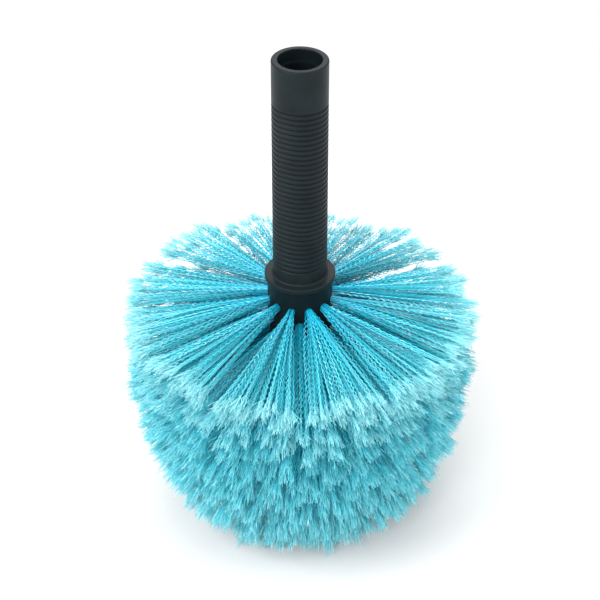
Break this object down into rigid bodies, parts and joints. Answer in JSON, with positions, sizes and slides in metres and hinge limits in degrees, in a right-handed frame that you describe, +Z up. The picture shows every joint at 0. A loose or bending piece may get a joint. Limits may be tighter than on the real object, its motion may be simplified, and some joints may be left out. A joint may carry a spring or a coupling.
{
  "type": "cobweb brush",
  "caption": "Dome-shaped cobweb brush head: fans of crimped bristles set in a round hub, under a tall ribbed stem with a screw-in pole socket, standing on its bristle tips.",
  "frame": {"origin": "centre of the circle that the lowest bristle tips stand on, at the level of that surface", "axes": "+Z up the stem's axis, out of the pole socket; the tufts of the second row point along X and Y"},
  "size_m": [0.2004, 0.2004, 0.293],
  "materials": {
    "stem_plastic": "moulded polypropylene, dark grey, satin",
    "hub_plastic": "moulded polypropylene, near black, satin",
    "bristle": "crimped polyester filament, turquoise, paler at its split tips",
    "anchor_wire": "flat drawn wire"
  },
  "bodies": {
    "root": {"handle_stem": "stem_plastic", "hub_block": "hub_plastic", "tuft_row_1": "bristle", "tuft_row_2": "bristle", "tuft_row_3": "bristle", "tuft_row_4": "bristle", "tuft_row_5": "bristle", "tuft_row_6": "bristle", "tuft_row_7": "bristle", "tuft_centre": "bristle", "anchor_row_1": "anchor_wire", "anchor_row_2": "anchor_wire", "anchor_row_3": "anchor_wire", "anchor_row_4": "anchor_wire", "anchor_row_5": "anchor_wire", "anchor_row_6": "anchor_wire", "anchor_row_7": "anchor_wire", "anchor_centre": "anchor_wire"}
  },
  "joints": []
}
